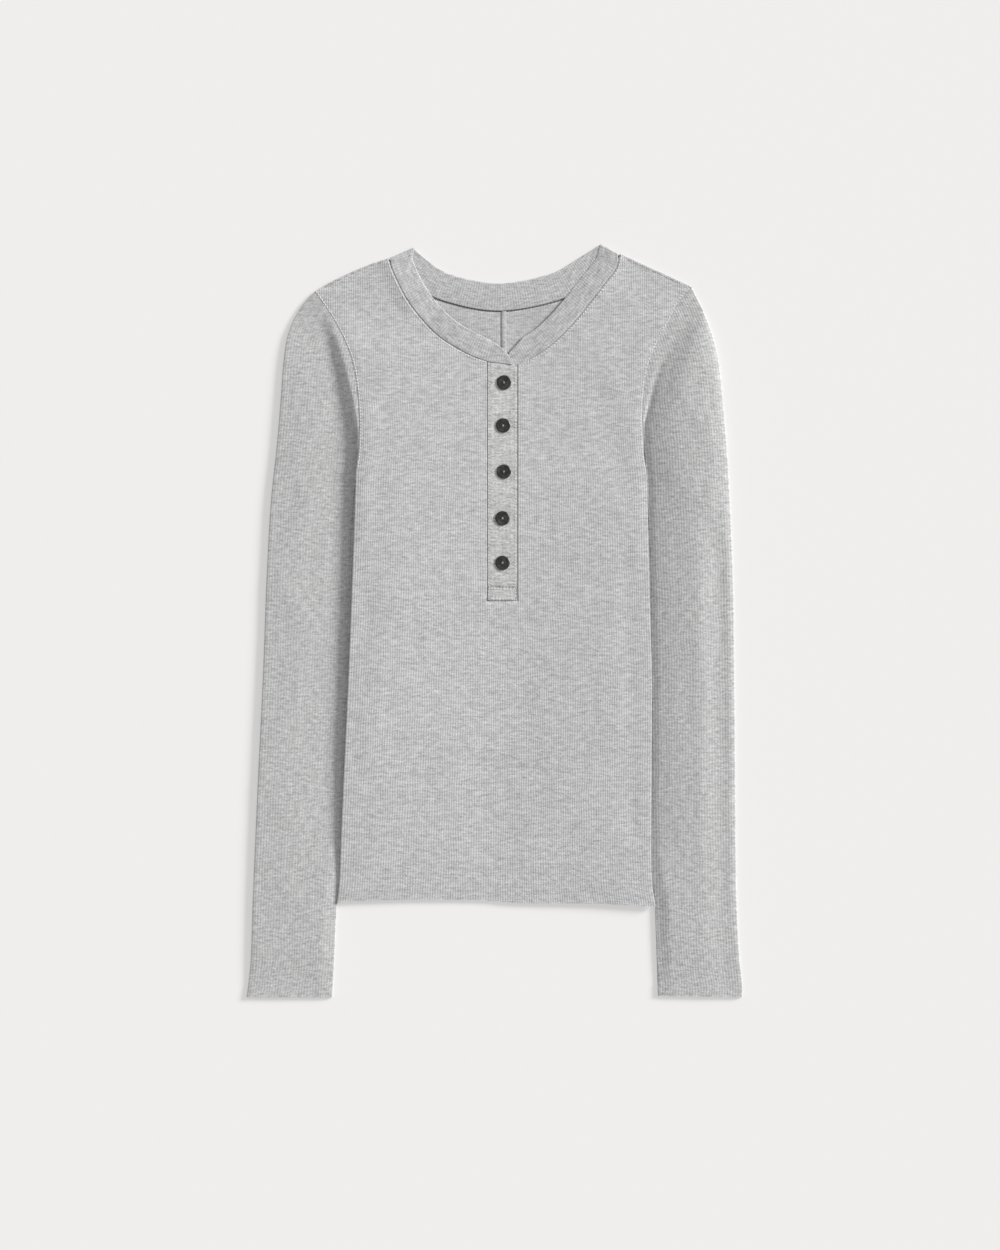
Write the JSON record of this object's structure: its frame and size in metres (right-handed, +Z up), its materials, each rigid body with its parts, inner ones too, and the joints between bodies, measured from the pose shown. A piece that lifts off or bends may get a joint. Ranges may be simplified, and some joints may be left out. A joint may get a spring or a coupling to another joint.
{
  "type": "henley shirt laid flat",
  "caption": "Long-sleeved rib-knit henley shirt laid flat, with a round neckband and a short buttoned placket, its sleeves lying down beside the body.",
  "frame": {"origin": "middle of the footprint, on the surface that the shirt lies on", "axes": "+X to the right as one looks down on the front, +Y from the hem to the neck, +Z up out of the cloth"},
  "size_m": [0.4464, 0.675, 0.0078],
  "materials": {
    "rib_knit": "matt heather grey rib knit",
    "rib_band": "matt heather grey rib knit, ribs across the band",
    "placket_cloth": "matt heather grey rib knit, folded double",
    "horn": "polished dark mottled horn look"
  },
  "bodies": {
    "root": {"front": "rib_knit", "back_left": "rib_knit", "back_right": "rib_knit", "sleeve_left": "rib_knit", "sleeve_right": "rib_knit", "neckband": "rib_band", "placket_upper": "placket_cloth", "placket_under": "placket_cloth", "button_1": "horn", "button_2": "horn", "button_3": "horn", "button_4": "horn", "button_5": "horn"}
  },
  "joints": []
}
